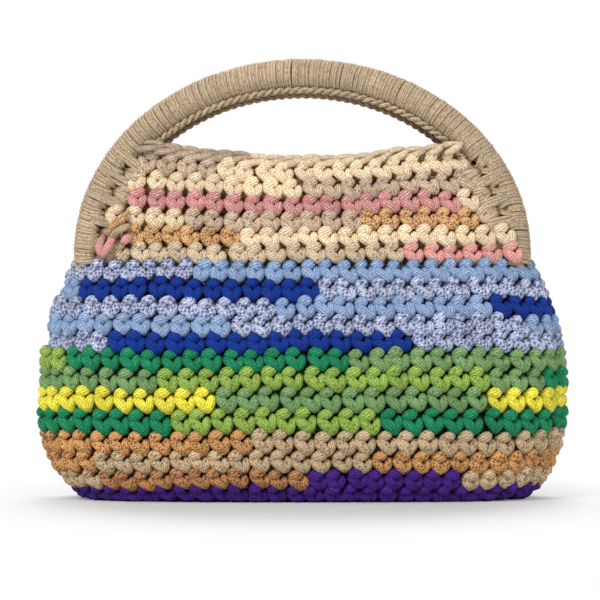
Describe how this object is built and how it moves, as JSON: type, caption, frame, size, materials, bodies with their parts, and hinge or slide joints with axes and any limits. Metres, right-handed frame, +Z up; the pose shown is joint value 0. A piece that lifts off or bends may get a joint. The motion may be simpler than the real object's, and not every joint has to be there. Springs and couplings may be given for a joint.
{
  "type": "crocheted handbag",
  "caption": "Crocheted cord handbag with a rounded body in coloured rounds, panels inside two wrapped arched handles, open at the top.",
  "frame": {"origin": "under the middle of the base, on the surface that the bag stands on", "axes": "+Z up, +X along the bag's width to the right seen from the front, -Y towards the front"},
  "size_m": [0.2796, 0.1, 0.2311],
  "materials": {
    "tan": "matt knitted cord",
    "cream": "matt knitted cord",
    "taupe": "matt knitted cord",
    "pink": "matt knitted cord",
    "coral": "matt knitted cord",
    "orange": "matt knitted cord, flecked with dark dashes",
    "light_blue": "matt knitted cord",
    "mottled": "matt knitted cord, flecked with dark dashes",
    "royal_blue": "matt knitted cord",
    "emerald": "matt knitted cord",
    "sage": "matt knitted cord",
    "lime": "matt knitted cord",
    "yellow": "matt knitted cord",
    "beige": "matt knitted cord, flecked with dark dashes",
    "orange_brown": "matt knitted cord, flecked with dark dashes",
    "purple": "matt knitted cord",
    "rod": "plain bent cane, hidden inside the wrapping"
  },
  "bodies": {
    "root": {"base": "purple", "handle_back_edge": "tan", "handle_back_rod": "rod", "handle_back_wrap": "tan", "handle_front_edge": "tan", "handle_front_rod": "rod", "handle_front_wrap": "tan", "panel_back_row_1_cream": "cream", "panel_back_row_2_taupe": "taupe", "panel_back_row_3_pink": "pink", "panel_back_row_4_orange": "orange", "panel_back_row_5_cream": "cream", "panel_back_row_6_tan": "tan", "panel_front_row_1_cream": "cream", "panel_front_row_1_taupe": "taupe", "panel_front_row_2_cream": "cream", "panel_front_row_2_taupe": "taupe", "panel_front_row_3_pink": "pink", "panel_front_row_4_cream": "cream", "panel_front_row_4_orange": "orange", "panel_front_row_4_taupe": "taupe", "panel_front_row_5_cream": "cream", "panel_front_row_5_orange": "orange", "panel_front_row_6_coral": "coral", "panel_front_row_6_tan": "tan", "rim_back_cream": "cream", "rim_front_cream": "cream", "rim_front_taupe": "taupe", "round_01_light_blue": "light_blue", "round_01_mottled": "mottled", "round_02_light_blue": "light_blue", "round_02_mottled": "mottled", "round_02_royal_blue": "royal_blue", "round_03_light_blue": "light_blue", "round_03_mottled": "mottled", "round_03_royal_blue": "royal_blue", "round_04_light_blue": "light_blue", "round_04_mottled": "mottled", "round_05_mottled": "mottled", "round_05_royal_blue": "royal_blue", "round_06_emerald": "emerald", "round_06_lime": "lime", "round_06_sage": "sage", "round_07_emerald": "emerald", "round_07_lime": "lime", "round_07_sage": "sage", "round_08_sage": "sage", "round_08_yellow": "yellow", "round_09_emerald": "emerald", "round_09_lime": "lime", "round_10_beige": "beige", "round_10_orange_brown": "orange_brown", "round_11_beige": "beige", "round_11_orange": "orange", "round_11_orange_brown": "orange_brown", "round_12_beige": "beige", "round_12_orange": "orange", "round_12_purple": "purple", "round_13_purple": "purple"}
  },
  "joints": []
}
